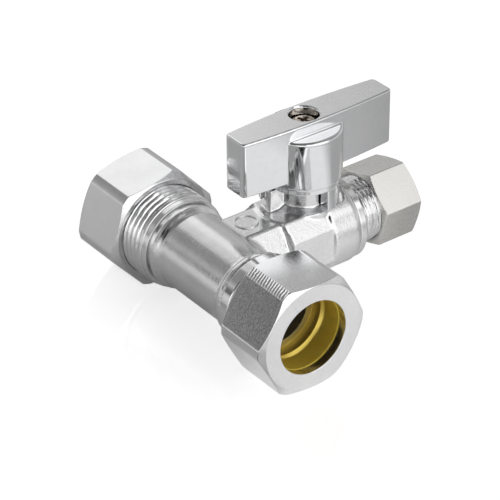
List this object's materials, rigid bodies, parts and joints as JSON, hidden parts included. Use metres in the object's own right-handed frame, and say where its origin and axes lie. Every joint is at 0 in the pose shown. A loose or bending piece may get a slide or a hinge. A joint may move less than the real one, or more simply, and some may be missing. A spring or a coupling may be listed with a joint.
{
  "type": "isolating valve",
  "caption": "Chrome tee stop valve: large compression ends on the run, a smaller one on the branch and a quarter-turn lever over the branch's ball valve.",
  "frame": {"origin": "where the axis of the run crosses the axis of the branch", "axes": "+Y along the run towards its back end, +X along the branch towards the outlet, +Z along the stem up to the handle"},
  "size_m": [0.0614, 0.064, 0.0408],
  "materials": {
    "cast_chrome": "chrome plate on fine-blasted cast brass, satin on the run",
    "turned_chrome": "bright chrome plate on turned brass",
    "large_nut_chrome": "chrome plate, flats drawn lengthwise",
    "small_nut_chrome": "satin nickel-chrome plate",
    "handle_chrome": "polished chrome plate, satin top",
    "ball_chrome": "polished",
    "stem_brass": "turned",
    "ferrule_brass": "turned, bright",
    "screw_nickel": "dull nickel",
    "seat": "white PTFE",
    "rubber": "black"
  },
  "bodies": {
    "valve_body": {"body": "cast_chrome", "outlet_adapter": "turned_chrome", "adapter_o_ring": "rubber", "inner_seat": "seat", "outer_seat": "seat"},
    "handle_group": {"handle": "handle_chrome", "handle_screw": "screw_nickel", "handle_screw_washer": "screw_nickel", "stem": "stem_brass", "stem_thrust_washer": "seat", "stem_o_ring_lower": "rubber", "stem_o_ring_upper": "rubber", "ball": "ball_chrome"},
    "front_ferrule_ring": {"front_ferrule": "ferrule_brass"},
    "front_nut_body": {"front_nut": "large_nut_chrome"},
    "back_ferrule_ring": {"back_ferrule": "ferrule_brass"},
    "back_nut_body": {"back_nut": "large_nut_chrome"},
    "branch_ferrule_ring": {"branch_ferrule": "ferrule_brass"},
    "branch_nut_body": {"branch_nut": "small_nut_chrome"}
  },
  "joints": [
    {"name": "handle_turn", "type": "hinge", "parent": "valve_body", "child": "handle_group", "pos_m": [0.0229, 0, 0], "axis": [0, 0, 1], "range_deg": [-90, 0]},
    {"name": "front_nut_travel", "type": "slide", "parent": "valve_body", "child": "front_ferrule_ring", "axis": [0, -1, 0], "range_m": [-0.00088, 0.00621]},
    {"name": "front_nut_turn", "type": "hinge", "parent": "front_ferrule_ring", "child": "front_nut_body", "pos_m": [0, 0, 0], "axis": [0, -1, 0], "range_deg": [-224.2, 1585]},
    {"name": "back_nut_travel", "type": "slide", "parent": "valve_body", "child": "back_ferrule_ring", "axis": [0, 1, 0], "range_m": [0, 0.00706]},
    {"name": "back_nut_turn", "type": "hinge", "parent": "back_ferrule_ring", "child": "back_nut_body", "pos_m": [0, 0, 0], "axis": [0, 1, 0], "range_deg": [0, 1801]},
    {"name": "branch_nut_travel", "type": "slide", "parent": "valve_body", "child": "branch_ferrule_ring", "axis": [1, 0, 0], "range_m": [0, 0.00423]},
    {"name": "branch_nut_turn", "type": "hinge", "parent": "branch_ferrule_ring", "child": "branch_nut_body", "pos_m": [0, 0, 0], "axis": [1, 0, 0], "range_deg": [0, 1441]}
  ],
  "couplings": [
    {"joint": "front_nut_turn", "follows": "front_nut_travel", "rad_per_m": 4452.7},
    {"joint": "back_nut_turn", "follows": "back_nut_travel", "rad_per_m": 4452.7},
    {"joint": "branch_nut_turn", "follows": "branch_nut_travel", "rad_per_m": 5936.9}
  ]
}
